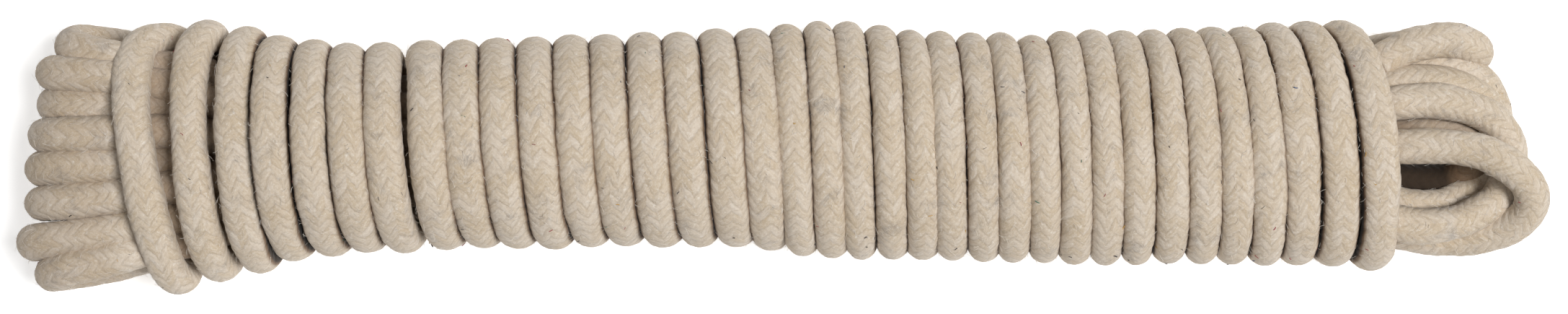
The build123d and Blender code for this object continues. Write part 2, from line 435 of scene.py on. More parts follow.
def winding_points():
    """The control points of every binding turn, from the right end to the first turn's crest,
    then the tail."""
    shapes = turn_shapes()
    last = shapes[-1]
    points = [(last["foot"] - LEAD_STEP, *turn_place(last, number))
              for number in range(LEAD_POINT, TURN_POINTS)]
    for shape, following in zip(shapes[:0:-1], shapes[-2::-1]):
        points += turn_points(shape, following["foot"])
    half_turn = turn_points(shapes[0], shapes[0]["foot"])[:TURN_POINTS // 2 + 1]
    return points + half_turn + TAIL_TUCK


def nurbs_curve(name, points):
    """A curve of one NURBS spline with these control points."""
    curve = bpy.data.curves.new(name, "CURVE")
    curve.dimensions = "3D"
    spline = curve.splines.new("NURBS")
    spline.points.add(len(points) - 1)
    for control, point in zip(spline.points, points):
        control.co = (*point, 1.0)
    spline.order_u = 3
    spline.use_endpoint_u = True
    curve.resolution_u = ROUTE_STEPS
    return curve


def points_of(curve):
    """The points of a curve's own line, as Blender makes them."""
    holder = bpy.data.objects.new("line", curve)
    mesh = bpy.data.meshes.new_from_object(holder)
    line = np.empty(len(mesh.vertices) * 3, np.float32)
    mesh.vertices.foreach_get("co", line)
    bpy.data.meshes.remove(mesh)
    bpy.data.objects.remove(holder)
    return line.reshape(-1, 3).astype(float)


def lengths_along(line):
    return np.concatenate([[0], np.cumsum(np.linalg.norm(np.diff(line, axis=0), axis=1))])


@lru_cache(maxsize=None)
def rope_route():
    """The whole line: its control points, its line, and how many control points come before
    the binding turns."""
    hank = hank_points()
    points = hank + winding_points()
    curve = nurbs_curve("rope_route", points)
    line = points_of(curve)
    bpy.data.curves.remove(curve)
    return points, line, len(hank)


def evaluated_index(control):
    """Which point of the line lies nearest to a control point."""
    return int((control - 0.5) * ROUTE_STEPS)


# ---------------------------------------------------------------- the braided cover

def unit(vectors):
    return vectors / (np.linalg.norm(vectors, axis=-1, keepdims=True) + 1e-12)


def fade(values, start, width):
    """0 up to start, 1 from width further on, and even between the two."""
    return np.clip((values - start) / width, 0, 1)


def lay_is_open(x):
    return any(start < x < end for start, end in LAYS_SHOW)


def rings_along(line, start, end, is_open):
    """Points along a stretch of the line, close together where the cover shows. The last ring
    lies at the stretch's end."""
    along = lengths_along(line)
    places = [along[start]]
    while places[-1] < along[end]:
        x = np.interp(places[-1], along, line[:, 0])
        places.append(places[-1] + (FINE_STEP if is_open(x) else COARSE_STEP))
    places = np.array(places)
    places *= 1 - (places - places[0]) / (places[-1] - places[0]) * (1 - along[end] / places[-1])
    centres = np.column_stack([np.interp(places, along, line[:, axis]) for axis in range(3)])
    soft = centres.copy()
    soft[1:-1] = (centres[:-2] + 2 * centres[1:-1] + centres[2:]) / 4
    tangents = unit(np.gradient(soft, axis=0))
    return places, soft, tangents


def steady_sides(centres, tangents):
    """A side direction for each ring that turns no more than the line does."""
    side = np.cross(tangents[0], (0.0, 0.0, 1.0))
    side /= np.linalg.norm(side)
    sides = [side]
    for before, here, from_way, to_way in zip(centres, centres[1:], tangents, tangents[1:]):
        step = here - before
        size = step @ step
        mirrored = side - 2 / size * (step @ side) * step
        way = from_way - 2 / size * (step @ from_way) * step
        turn = to_way - way
        side = mirrored - 2 / max(turn @ turn, 1e-18) * (turn @ mirrored) * turn
        side = side - (side @ to_way) * to_way
        side /= np.linalg.norm(side)
        sides.append(side)
    return np.array(sides)


def drift(places, name):
    """A slow wander along the line, with one row for each place."""
    number, scale, amount = WANDERS[name]
    random = np.random.default_rng(SEED + number)
    total = np.zeros_like(places)
    for _ in range(4):
        frequency = 2 * pi / scale * random.uniform(0.6, 1.9)
        total += np.sin(places * frequency + random.uniform(0, 2 * pi))
    return (amount * total / 2)[:, None]


def braid_relief(rows, columns):
    """Height of the braid, 0 to 1: columns of slanting strands that meet in V shapes."""
    column = np.floor(columns)
    across = columns - column - 0.5
    way = np.where(column % 2 == 0, 1.0, -1.0)
    row = rows + way * across * STRAND_SLOPE
    on_strand = row - np.floor(row) - 0.5
    return np.cos(pi * on_strand) ** 0.8 * (0.62 + 0.38 * np.cos(pi * across))


def braided_tube(stretch, sizes):
    """The points of a stretch's rings, and the braid's rows and columns at each of them."""
    places, angles = stretch["places"], stretch["angles"]
    around = angles[None] / (2 * pi)
    wave = COLUMN_WAVE * np.sin(2 * pi * around * 3 + drift(places, "column_wave"))
    columns = (around + drift(places, "columns")) * BRAID_COLUMNS + wave
    wave = ROW_WAVE * np.sin(2 * pi * around * 2 + drift(places, "row_wave"))
    rows = places[:, None] / sizes.braid_pitch + drift(places, "rows") + wave
    relief = braid_relief(rows, columns) - MEAN_RELIEF
    lump = drift(places, "thickness") + np.sin(2 * pi * around + drift(places, "lumps"))
    reach = stretch["reach"] + (sizes.relief * relief + sizes.lumps * lump / 2)
    way = (np.cos(angles)[None, :, None] * stretch["side"][:, None]
           + np.sin(angles)[None, :, None] * stretch["other"][:, None])
    points = stretch["centres"][:, None] + reach[..., None] * way
    points[..., 2] = np.maximum(points[..., 2], FLOOR_GAP)
    return points, rows, columns


def tube_mesh(name, stretches, sizes):
    """One mesh of closed tubes with the braid's relief. Each stretch gives its rings' places
    along the line, their centres and two side directions, the angles round a ring, how far
    the ring reaches at each of them, how open the cotton is there and how much painted shade it gets."""
    all_points, all_quads, braid_uv, row_counts = [], [], [], []
    base = 0
    for stretch in stretches:
        points, rows, columns = braided_tube(stretch, sizes)
        rings = len(points)
        ring, step = np.meshgrid(np.arange(rings - 1), np.arange(AROUND), indexing="ij")
        following = (step + 1) % AROUND
        one = base + ring * AROUND + step
        two = base + ring * AROUND + following
        quads = np.stack([one, two, two + AROUND, one + AROUND], -1)
        once_round = np.where(following == 0, BRAID_COLUMNS, 0.0)
        corners = ((ring, step, 0.0), (ring, following, once_round),
                   (ring + 1, following, once_round), (ring + 1, step, 0.0))
        uv = np.stack([np.stack([rows[i, j], columns[i, j] + more], -1) for i, j, more in corners], 2)
        all_points.append(points.reshape(-1, 3))
        all_quads.append(quads.reshape(-1, 4))
        braid_uv.append(uv.reshape(-1, 2))
        row_counts.append(rings)
        base += rings * AROUND
    open_and_shade = {attribute: [stretch[attribute].reshape(-1) for stretch in stretches]
             for attribute in ("in_the_open", "painted_shade")}
    return assembled(name, all_points, all_quads, braid_uv, open_and_shade, row_counts)


def cap_fans(row_counts, all_points):
    """A middle point and a fan of triangles for both ends of each tube."""
    fans, middles = [], []
    base, extra = 0, sum(row_counts) * AROUND
    for rings, points in zip(row_counts, all_points):
        for first, flip in ((0, True), ((rings - 1) * AROUND, False)):
            middles.append(points[first:first + AROUND].mean(0))
            steps = np.arange(AROUND)
            one, two = base + first + steps, base + first + (steps + 1) % AROUND
            middle = np.full(AROUND, extra + len(middles) - 1)
            fans.append(np.stack([two, one, middle] if flip else [one, two, middle], -1))
        base += rings * AROUND
    return np.array(middles), np.concatenate(fans)


def bake_strips(row_counts, cap_triangles):
    """A second map for baking: the tubes cut into strips that fill the square, and a small
    patch for each cap. The shares of the square are its margins and the strips' own."""
    total = sum(row_counts) - len(row_counts)
    rows = max(1, int(round((total * FINE_STEP / (pi * LINE)) ** 0.5)))
    per_row = int(np.ceil(total / rows))
    side_margin, end_margin, strip = 0.004, 0.01, 0.94
    tall = 0.97 / (rows + 1)
    uv, done = [], 0
    for rings in row_counts:
        ring, step = np.meshgrid(np.arange(rings - 1), np.arange(AROUND), indexing="ij")
        row, along = (done + ring) // per_row, (done + ring) % per_row
        corners = []
        for further, higher in ((0, 0), (0, 1), (1, 1), (1, 0)):
            across = side_margin + (1 - 2 * side_margin) * (along + further) / per_row
            up = end_margin + (row + (1 - strip) / 2 + strip * (step + higher) / AROUND) * tall
            corners.append(np.stack([across, up], -1))
        uv.append(np.stack(corners, 2).reshape(-1, 2))
        done += rings - 1
    patch = 0.9 / len(cap_triangles)
    place = 0.02 + patch * np.arange(len(cap_triangles))
    base = end_margin + (rows + 0.1) * tall
    fan = np.stack([np.stack([place + over * patch, np.full_like(place, base + up * tall)], -1)
                    for over, up in ((0, 0), (0.8, 0), (0, 0.5))], 1)
    return np.concatenate(uv), fan.reshape(-1, 2)


def assembled(name, all_points, all_quads, braid_uv, open_and_shade, row_counts):
    """The mesh object of these tubes with their caps, maps and attributes."""
    middles, fans = cap_fans(row_counts, all_points)
    points = np.concatenate(all_points + [middles])
    quads = np.concatenate(all_quads)
    strips, fan_strips = bake_strips(row_counts, fans)
    corner = np.concatenate([quads.reshape(-1), fans.reshape(-1)])
    totals = np.concatenate([np.full(len(quads), 4), np.full(len(fans), 3)])
    mesh = bpy.data.meshes.new(name)
    mesh.vertices.add(len(points))
    mesh.vertices.foreach_set("co", points.astype(np.float32).reshape(-1))
    mesh.loops.add(len(corner))
    mesh.loops.foreach_set("vertex_index", corner.astype(np.int32))
    mesh.polygons.add(len(totals))
    mesh.polygons.foreach_set("loop_start", (np.cumsum(totals) - totals).astype(np.int32))
    mesh.polygons.foreach_set("loop_total", totals.astype(np.int32))
    mesh.update(calc_edges=True)
    mesh.shade_smooth()
    blank = np.tile([0.0, 0.5], (len(fans) * 3, 1))
    for layer_name, values in (("Braid", np.concatenate(braid_uv + [blank])),
                               ("OFBake", np.concatenate([strips, fan_strips]))):
        layer = mesh.uv_layers.new(name=layer_name)
        layer.uv.foreach_set("vector", values.astype(np.float32).reshape(-1))
    for attribute_name, lists in open_and_shade.items():
        attribute = mesh.attributes.new(attribute_name, "FLOAT", "POINT")
        values = np.concatenate(lists + [np.zeros(len(middles))])
        attribute.data.foreach_set("value", values.astype(np.float32))
    mesh.validate()
    piece = bpy.data.objects.new(name, mesh)
    bpy.context.collection.objects.link(piece)
    return piece


def lay_stretch(start, end, sizes):
    """A stretch of the folded lays, round, with its rings close only where they show."""
    _, line, _ = rope_route()
    places, centres, tangents = rings_along(line, start, end, lay_is_open)
    side = steady_sides(centres, tangents)
    angles = np.linspace(0, 2 * pi, AROUND, endpoint=False)
    x = centres[:, 0]
    plump = FOLDS_PLUMP * fade(-x, 0.140, 0.008)[:, None]
    reach = sizes.diameter / 2 * (1 + plump + drift(places, "oval") * np.cos(2 * angles)[None])
    open_air = np.where((x < OPEN_LEFT) | (x > OPEN_RIGHT), 1.0, 0.0)
    # Painted shade on the lays: the full share in the largest loop's eye, where the cotton turns
    # near-black as painted shadow; smaller shares on the folds at the left and on the lays inside the
    # binding.
    in_eye = np.ones(len(x))
    for values, (low, low_width, high, high_width) in zip(centres.T, EYE_PAINTED_SHADOW):
        in_eye *= fade(values, low, low_width) * fade(-values, -high, high_width)
    shade_share = np.maximum(in_eye, FOLDS_PAINTED_SHADE * fade(-x, 0.152, 0.006))
    shade_share = np.maximum(shade_share, INSIDE_PAINTED_SHADE * (1 - open_air))
    open_air = np.where(in_eye > 0.2, 0.0, open_air)
    return {"places": places, "centres": centres, "side": side, "other": np.cross(tangents, side),
            "angles": angles, "reach": reach,
            "in_the_open": np.tile(open_air[:, None], (1, AROUND)),
            "painted_shade": np.tile(shade_share[:, None], (1, AROUND))}


def gap_shares(x):
    """How open the left and the right side of a turn at x is, 0 where the next turn touches."""
    turns, pitches = np.array(turn_centres()).T
    nearest = np.abs(x[:, None] - turns[None]).argmin(1)
    gaps = fade(np.diff(turns) - pitches[1:], 0, OPEN_GAP)
    return np.concatenate([[1.0], gaps])[nearest], np.concatenate([gaps, [1.0]])[nearest]


def section_reach(angles, half_out, half_wide, power):
    """The reach of a squeezed section at each angle from the outward direction."""
    out = np.abs(np.cos(angles)[None] / half_out[:, None]) ** power
    wide = np.abs(np.sin(angles)[None] / half_wide[:, None]) ** power
    return (out + wide) ** (-1 / power)


def turn_stretch(start, end, sizes):
    """A stretch of the binding turns, squeezed between its neighbours, with the rings' points
    closer on the outside than against the lays."""
    _, line, _ = rope_route()
    places, centres, tangents = rings_along(line, start, end, lambda x: True)
    pitches = np.array(turn_centres()).T      # the turns' x, and their pitches
    middle_y, middle_z, half_height, half_depth = bundle_section(centres[:, 0])
    outward = np.column_stack([
        np.zeros(len(centres)),
        (centres[:, 1] - middle_y) / (half_height + LINE / 2) ** 2,
        (centres[:, 2] - middle_z) / (half_depth + LINE / 2) ** 2])
    outward = unit(outward)
    outward = unit(outward - (outward * tangents).sum(1, keepdims=True) * tangents)
    fill = sizes.turn_fill + drift(places, "fill")[:, 0]
    half_wide = np.minimum(WIDEST_HALF * sizes.diameter, fill * np.interp(centres[:, 0], *pitches) / 2)
    half_out = np.clip((sizes.diameter / 2) ** 2 / half_wide,
                       THINNEST_HALF * sizes.diameter, THICKEST_HALF * sizes.diameter)
    even = np.linspace(-1, 1, AROUND, endpoint=False) + 1 / AROUND
    angles = pi * (0.86 * even + 0.14 * even**3)
    power = FACE_POWER - CREST_POWER_LESS * outward[:, 1:2] ** 2
    reach = section_reach(angles, half_out, half_wide, power)
    other = np.cross(tangents, outward)
    beside = np.sin(angles)[None] * np.sign(other[:, 0])[:, None]
    # Painted shade: the sides of a turn that the next turn touches get a share that darkens the cotton
    # there, up to near-black where they press together.
    left_open, right_open = gap_shares(centres[:, 0])
    closed = np.where(beside < 0, 1 - left_open[:, None], 1 - right_open[:, None])
    facing = fade(np.cos(angles)[None], -0.15, 0.25)
    above_floor = fade(centres[:, 2:3], 0.006, 0.0025)
    return {"places": places, "centres": centres, "side": outward, "other": other,
            "angles": angles, "reach": reach, "in_the_open": facing * above_floor,
            "painted_shade": fade(np.abs(beside), 0.74, 0.22) ** 1.8 * closed}


def lay_cover_stretches():
    """The evaluated stretches of the two lay covers, which meet inside the bundle."""
    _, line, before = rope_route()
    end = evaluated_index(before)
    half = end // 2
    while abs(line[half, 0] - LAYS_PART) > 0.001:
        half += 1
    return [(0, half), (half, end)]


def turn_cover_stretches(groups):
    """The evaluated stretches of the turn covers, one turn after another shared out."""
    _, line, before = rope_route()
    first_back = before + TURN_POINTS - LEAD_POINT + BACK_POINT
    backs = [evaluated_index(first_back + turn * TURN_POINTS)
             for turn in range(len(turn_centres()) - 1)]
    edges = [evaluated_index(before), *backs, len(line) - 1]
    spans = list(zip(edges, edges[1:]))
    return [spans[group::groups] for group in range(groups)]


# ---------------------------------------------------------------- node helpers

def fill_inputs(tree, node, inputs):
    """An input given as a socket is linked, and any other is set."""
    for key, value in inputs.items():
        if isinstance(value, bpy.types.NodeSocket):
            tree.links.new(value, node.inputs[key])
        else:
            node.inputs[key].default_value = value


def new_node(tree, kind, inputs=None, **settings):
    node = tree.nodes.new(kind)
    for key, value in settings.items():
        setattr(node, key, value)
    fill_inputs(tree, node, inputs or {})
    return node


def result(tree, kind, inputs=None, **settings):
    """The first output of a new node."""
    return new_node(tree, kind, inputs, **settings).outputs[0]


def math_node(tree, operation, first, second=0.0, third=0.0):
    return result(tree, "ShaderNodeMath", {0: first, 1: second, 2: third}, operation=operation)


def times(tree, first, second):
    return math_node(tree, "MULTIPLY", first, second)


def minus(tree, first, second):
    return math_node(tree, "SUBTRACT", first, second)


def texture(tree, kind, place, **inputs):
    """The value of a noise or wave texture at this place."""
    return new_node(tree, f"ShaderNodeTex{kind}", {"Vector": place, **inputs}).outputs["Fac"]


def group_tree(name, kind, inputs, outputs):
    """An empty node group with named sockets, what it is given and what it makes."""
    tree = bpy.data.node_groups.new(name, kind)
    for socket_name, socket_kind, default in inputs:
        socket = tree.interface.new_socket(socket_name, in_out="INPUT", socket_type=socket_kind)
        if default is not None:
            socket.default_value = default
    for socket_name, socket_kind in outputs:
        tree.interface.new_socket(socket_name, in_out="OUTPUT", socket_type=socket_kind)
    return tree, tree.nodes.new("NodeGroupInput").outputs, tree.nodes.new("NodeGroupOutput").inputs


def mixed(tree, factor, first, second, mode="MIX"):
    """A colour mix; the sockets of Blender's mix node share names, so they go by number."""
    node = new_node(tree, "ShaderNodeMix", data_type="RGBA", blend_type=mode)
    fill_inputs(tree, node, {0: factor, 6: first, 7: second})
    return node.outputs[2]


def remapped(tree, value, low, high, new_low=0.0, new_high=1.0):
    return result(tree, "ShaderNodeMapRange", {
        "Value": value, "From Min": low, "From Max": high, "To Min": new_low, "To Max": new_high},
        interpolation_type="SMOOTHSTEP")


# ---------------------------------------------------------------- materials

def braid_group():
    """Strand pattern on the braid's own map: its height, the grooves between strands, a tone
    for each strand, and a place along the fibres of the strand."""
    known = bpy.data.node_groups.get("Braid Strands")
    if known:
        return known
    tree, given, made = group_tree(
        "Braid Strands", "ShaderNodeTree",
        [("Map", "NodeSocketVector", None), ("Slope", "NodeSocketFloat", STRAND_SLOPE),
         ("Columns", "NodeSocketFloat", float(BRAID_COLUMNS))],
        [("Height", "NodeSocketFloat"), ("Groove", "NodeSocketFloat"),
         ("Tone", "NodeSocketFloat"), ("Fibres", "NodeSocketVector")])
    ragged = new_node(tree, "ShaderNodeTexNoise", {
        "Vector": given["Map"], "Scale": 1.3, "Detail": 4.0, "Roughness": 0.62}).outputs["Color"]
    shaken = result(tree, "ShaderNodeVectorMath", {0: ragged, 1: (0.5, 0.5, 0.5)}, operation="SUBTRACT")
    shaken = result(tree, "ShaderNodeVectorMath", {
        0: shaken, 1: (0.50, 0.42, 0.0), 2: given["Map"]}, operation="MULTIPLY_ADD")
    split = new_node(tree, "ShaderNodeSeparateXYZ", {0: shaken}).outputs
    column = math_node(tree, "FLOOR", split[1])
    across = minus(tree, minus(tree, split[1], column), 0.5)
    odd = math_node(tree, "FLOORED_MODULO", column, 2.0)
    way = math_node(tree, "MULTIPLY_ADD", odd, -2.0, 1.0)
    lean = times(tree, times(tree, way, across), given["Slope"])
    row = math_node(tree, "ADD", split[0], lean)
    strand = math_node(tree, "FLOOR", row)
    place = minus(tree, minus(tree, row, strand), 0.5)
    crown = math_node(tree, "COSINE", times(tree, place, pi))
    edge = math_node(tree, "ABSOLUTE", place)
    groove = remapped(tree, edge, 0.30, 0.50)
    wrapped = math_node(tree, "FLOORED_MODULO", column, given["Columns"])
    cell = result(tree, "ShaderNodeCombineXYZ", {0: wrapped, 1: strand})
    tone = new_node(tree, "ShaderNodeTexWhiteNoise", {"Vector": cell},
                    noise_dimensions="3D").outputs["Value"]
    fibres = result(tree, "ShaderNodeCombineXYZ", {
        0: times(tree, place, 16.0), 1: times(tree, across, 3.6), 2: times(tree, tone, 61.0)})
    for name, socket in (("Height", crown), ("Groove", groove), ("Tone", tone), ("Fibres", fibres)):
        tree.links.new(socket, made[name])
    return tree


def handling_group():
    """Grey and warm patches where the cotton has been handled, on the object's own space."""
    known = bpy.data.node_groups.get("Handled Cotton")
    if known:
        return known
    tree, given, made = group_tree(
        "Handled Cotton", "ShaderNodeTree",
        [("Place", "NodeSocketVector", None), ("Patch Scale", "NodeSocketFloat", 120.0)],
        [("Grey", "NodeSocketFloat"), ("Warm", "NodeSocketFloat"), ("Wisps", "NodeSocketFloat")])
    place, scale = given["Place"], given["Patch Scale"]
    grey = texture(tree, "Noise", place, Scale=scale, Detail=4.0, Roughness=0.65)
    warm_scale = times(tree, scale, 0.62)
    shifted = result(tree, "ShaderNodeVectorMath", {0: place, 1: (0.31, 0.17, 0.45)}, operation="ADD")
    warm = texture(tree, "Noise", shifted, Scale=warm_scale, Detail=3.0, Roughness=0.6)
    wisp_scale = times(tree, scale, 6.4)
    wisps = texture(tree, "Noise", shifted, Scale=wisp_scale, Detail=5.0, Roughness=0.72, Distortion=0.7)
    for name, socket in (("Wisps", wisps), ("Grey", remapped(tree, grey, 0.54, 0.74)),
                         ("Warm", remapped(tree, warm, 0.45, 0.70))):
        tree.links.new(socket, made[name])
    return tree


def plain_material(name, roughness, specular=0.5):
    material = bpy.data.materials.new(name)
    material.use_nodes = True
    tree = material.node_tree
    tree.nodes.clear()
    shader = new_node(tree, "ShaderNodeBsdfPrincipled", {
        "Roughness": roughness, "Specular IOR Level": specular})
    new_node(tree, "ShaderNodeOutputMaterial", {"Surface": shader.outputs[0]})
    return material, tree, shader


def object_place(tree):
    return tree.nodes.new("ShaderNodeTexCoord").outputs["Object"]


def cotton_material(colours):
    """Natural cotton braid: cream strands that differ a little, whitish fibres along them,
    grooves darkened with painted shade, and faint grey and warm patches."""
    known = bpy.data.materials.get("Natural Cotton Braid")
    if known:
        return known
    material, tree, shader = plain_material("Natural Cotton Braid", 0.88, 0.22)
    place = object_place(tree)
    braid_map = result(tree, "ShaderNodeUVMap", uv_map="Braid")
    strands = new_node(tree, "ShaderNodeGroup", {"Map": braid_map}, node_tree=braid_group()).outputs
    patches = new_node(tree, "ShaderNodeGroup", {"Place": place, "Patch Scale": 150.0},
                       node_tree=handling_group()).outputs
    along = strands["Fibres"]
    fibres = texture(tree, "Noise", along, Scale=1.0, Detail=3.0, Roughness=0.62)
    broad = texture(tree, "Noise", along, Scale=0.36, Detail=2.0, Roughness=0.5)
    matted = texture(tree, "Noise", place, Scale=1500.0, Detail=3.0, Roughness=0.6)
    handled = times(tree, patches["Grey"], remapped(tree, fibres, 0.60, 0.44, 0.15, 1.0))
    # What lies over the cream strands, from the bottom up: where, how much of it, and its colour.
    layers = ((strands["Tone"], 0.72, colours.straw),
              (patches["Warm"], 0.62, colours.straw),
              (remapped(tree, fibres, 0.54, 0.68), 0.40, colours.lint),
              (remapped(tree, fibres, 0.46, 0.32), 0.20, colours.groove),
              (remapped(tree, broad, 0.52, 0.70), 0.20, colours.lint),
              (remapped(tree, broad, 0.48, 0.30), 0.20, colours.shade),
              (remapped(tree, patches["Wisps"], 0.56, 0.70), 0.75, colours.lint),
              (remapped(tree, matted, 0.52, 0.66), 0.26, colours.lint),
              (remapped(tree, matted, 0.48, 0.34), 0.28, colours.shade),
              (handled, 0.62, colours.grey),
              # Painted shade in the grooves between the strands.
              (strands["Groove"], 0.20, colours.groove))
    body = (*colours.cream, 1)
    for share, amount, colour in layers:
        body = mixed(tree, times(tree, share, amount), body, (*colour, 1))
    # Painted shade: the stored share multiplies the cotton by a darker tint between turns, on the lays
    # inside the binding and on the folds; above one half it turns to near-black painted shadow, in the eye
    # of the largest loop and where turns press together.
    painted_shade = new_node(tree, "ShaderNodeAttribute", attribute_name="painted_shade").outputs["Fac"]
    body = mixed(tree, remapped(tree, painted_shade, 0.0, 0.6), body, (*colours.painted_shade_tint, 1), "MULTIPLY")
    body = mixed(tree, remapped(tree, painted_shade, 0.5, 1.0), body, (*colours.painted_deep_shadow, 1))
    height = times(tree, strands["Height"], 0.29)
    height = math_node(tree, "MULTIPLY_ADD", fibres, 0.30, height)
    height = math_node(tree, "MULTIPLY_ADD", matted, 0.36, height)
    bump = result(tree, "ShaderNodeBump", {"Strength": 0.85, "Distance": 0.00026, "Height": height})
    fill_inputs(tree, shader, {
        "Base Color": body, "Roughness": remapped(tree, matted, 0.3, 0.7, 0.82, 0.95),
        "Normal": bump, "Sheen Weight": 0.12, "Sheen Roughness": 0.55})
    return material


def two_toned(tree, shader, pattern, first, second, strength=0.0, distance=0.0):
    """Two colours that a pattern mixes, and as much bump from it as this strength gives."""
    fill_inputs(tree, shader, {"Base Color": mixed(tree, pattern, (*first, 1), (*second, 1))})
    if strength:
        bump = result(tree, "ShaderNodeBump", {
            "Strength": strength, "Distance": distance, "Height": pattern})
        fill_inputs(tree, shader, {"Normal": bump})


def yarn_material(colours):
    """The parallel yarns of the line's core."""
    material, tree, shader = plain_material("Cotton Core Yarn", 0.9)
    yarns = texture(tree, "Noise", object_place(tree), Scale=700.0, Detail=3.0)
    two_toned(tree, shader, yarns, colours.lint, colours.cream, 0.6, 0.0002)
    return material


def twine_material(colours):
    """Waxed whipping twine, with its own fine twist."""
    material, tree, shader = plain_material("Waxed Whipping Twine", 0.62)
    twist = texture(tree, "Wave", object_place(tree), Scale=420.0, Distortion=1.5, Detail=2.0)
    two_toned(tree, shader, twist, colours.twine, colours.lint, 0.5, 0.0001)
    return material


def lint_material(colours):
    """Loose cotton fibres that stand off the braid."""
    material, tree, shader = plain_material("Loose Cotton Fibre", 0.8, 0.2)
    shades = texture(tree, "Noise", object_place(tree), Scale=260.0, Detail=1.0)
    two_toned(tree, shader, shades, colours.loose, colours.lint)
    return material


def fleck_material():
    """Specks of coloured and dark fibre that were carded in with the cotton."""
    material, tree, shader = plain_material("Coloured Fibre Flecks", 0.85)
    tone = new_node(tree, "ShaderNodeAttribute", attribute_name="fleck_tone").outputs["Fac"]
    ramp = new_node(tree, "ShaderNodeValToRGB", {0: tone})
    ramp.color_ramp.interpolation = "CONSTANT"
    shades = [(0.0, (0.07, 0.06, 0.055, 1)), (0.34, (0.34, 0.10, 0.10, 1)),
              (0.52, (0.52, 0.32, 0.10, 1)), (0.72, (0.16, 0.15, 0.16, 1)),
              (0.86, (0.10, 0.20, 0.14, 1)), (0.94, (0.12, 0.16, 0.26, 1))]
    marks = ramp.color_ramp.elements
    marks[0].position, marks[0].color = shades[0]
    marks[1].position, marks[1].color = shades[-1]
    for position, shade in shades[1:-1]:
        marks.new(position).color = shade
    tree.links.new(ramp.outputs[0], shader.inputs["Base Color"])
    return material


# ---------------------------------------------------------------- geometry nodes

def end_tree(tree, given, made, last):
    """Make the last geometry's instances real, with the given material, as the tree's result."""
    whole = result(tree, "GeometryNodeRealizeInstances", {0: last})
    finished = result(tree, "GeometryNodeSetMaterial", {"Geometry": whole, "Material": given["Material"]})
    tree.links.new(finished, made[0])


def swept(tree, path, section):
    """A closed tube of this section along a path."""
    return result(tree, "GeometryNodeCurveToMesh", {
        "Curve": path, "Profile Curve": section, "Fill Caps": True})


def random_between(tree, low, high, seed):
    return result(tree, "FunctionNodeRandomValue", {"Min": low, "Max": high, "Seed": seed},
                  data_type="FLOAT_VECTOR")


def fibre_tree():
    """Short curved fibres scattered over the covers where they lie in the open."""
    known = bpy.data.node_groups.get("Scattered Fibres")
    if known:
        return known
    tree, given, made = group_tree(
        "Scattered Fibres", "GeometryNodeTree",
        [("Geometry", "NodeSocketGeometry", None), ("Covers", "NodeSocketCollection", None),
         ("Fibres per Square Metre", "NodeSocketFloat", 1e5), ("Length", "NodeSocketFloat", 0.001),
         ("Width", "NodeSocketFloat", 0.00004), ("Lift", "NodeSocketFloat", 0.4),
         ("Seed", "NodeSocketInt", 1), ("Material", "NodeSocketMaterial", None)],
        [("Geometry", "NodeSocketGeometry")])
    covers = result(tree, "GeometryNodeCollectionInfo", {"Collection": given["Covers"]},
                    transform_space="ORIGINAL")
    surface = result(tree, "GeometryNodeRealizeInstances", {0: covers})
    in_open = new_node(tree, "GeometryNodeInputNamedAttribute", {"Name": "in_the_open"}, data_type="FLOAT")
    density = times(tree, in_open.outputs["Attribute"], given["Fibres per Square Metre"])
    points = new_node(tree, "GeometryNodeDistributePointsOnFaces", {
        "Mesh": surface, "Density": density, "Seed": given["Seed"]}).outputs
    length = given["Length"]
    rise = times(tree, length, given["Lift"])
    middle = result(tree, "ShaderNodeCombineXYZ", {
        0: times(tree, length, 0.5), 1: times(tree, length, 0.12), 2: times(tree, rise, 0.9)})
    end = result(tree, "ShaderNodeCombineXYZ", {0: length, 1: times(tree, length, -0.15), 2: rise})
    bow = result(tree, "GeometryNodeCurveQuadraticBezier", {
        "Resolution": 4, "Start": (0.0, 0.0, 0.0), "Middle": middle, "End": end})
    ring = result(tree, "GeometryNodeCurvePrimitiveCircle", {
        "Resolution": 3, "Radius": times(tree, given["Width"], 0.5)})
    spread = result(tree, "GeometryNodeInstanceOnPoints", {
        "Points": points[0], "Instance": swept(tree, bow, ring), "Rotation": points["Rotation"],
        "Scale": random_between(tree, (0.55, 0.55, 0.55), (1.5, 1.5, 1.5), 5)})
    spin = random_between(tree, (-0.25, -0.25, 0.0), (0.25, 0.35, 2 * pi), 9)
    turned = result(tree, "GeometryNodeRotateInstances", {
        "Instances": spread, "Rotation": spin, "Local Space": True})
    shade = new_node(tree, "FunctionNodeRandomValue", {"Seed": 14}, data_type="FLOAT")
    toned = new_node(tree, "GeometryNodeStoreNamedAttribute", {
        "Geometry": turned, "Name": "fleck_tone"}, data_type="FLOAT", domain="INSTANCE")
    tree.links.new(shade.outputs["Value"], toned.inputs["Value"])
    end_tree(tree, given, made, toned.outputs[0])
    return tree


def whipping_tree():
    """A tight whipping: twine wound round a straight stretch of the line, along X."""
    known = bpy.data.node_groups.get("Twine Whipping")
    if known:
        return known
    tree, given, made = group_tree(
        "Twine Whipping", "GeometryNodeTree",
        [("Geometry", "NodeSocketGeometry", None), ("Turns", "NodeSocketFloat", 17.0),
         ("Line Radius", "NodeSocketFloat", 0.004), ("Twine", "NodeSocketFloat", 0.0005),
         ("Length", "NodeSocketFloat", 0.009), ("Start", "NodeSocketVector", (0.0, 0.0, 0.0)),
         ("Material", "NodeSocketMaterial", None)],
        [("Geometry", "NodeSocketGeometry")])
    half = times(tree, given["Twine"], 0.5)
    radius = math_node(tree, "ADD", given["Line Radius"], half)
    wound = result(tree, "GeometryNodeCurveSpiral", {
        "Resolution": 40, "Rotations": given["Turns"], "Start Radius": radius,
        "End Radius": radius, "Height": given["Length"]})
    section = result(tree, "GeometryNodeCurvePrimitiveCircle", {"Resolution": 6, "Radius": half})
    placed = result(tree, "GeometryNodeTransform", {
        "Geometry": swept(tree, wound, section), "Translation": given["Start"],
        "Rotation": (0.0, pi / 2, 0.0)})
    end_tree(tree, given, made, placed)
    return tree


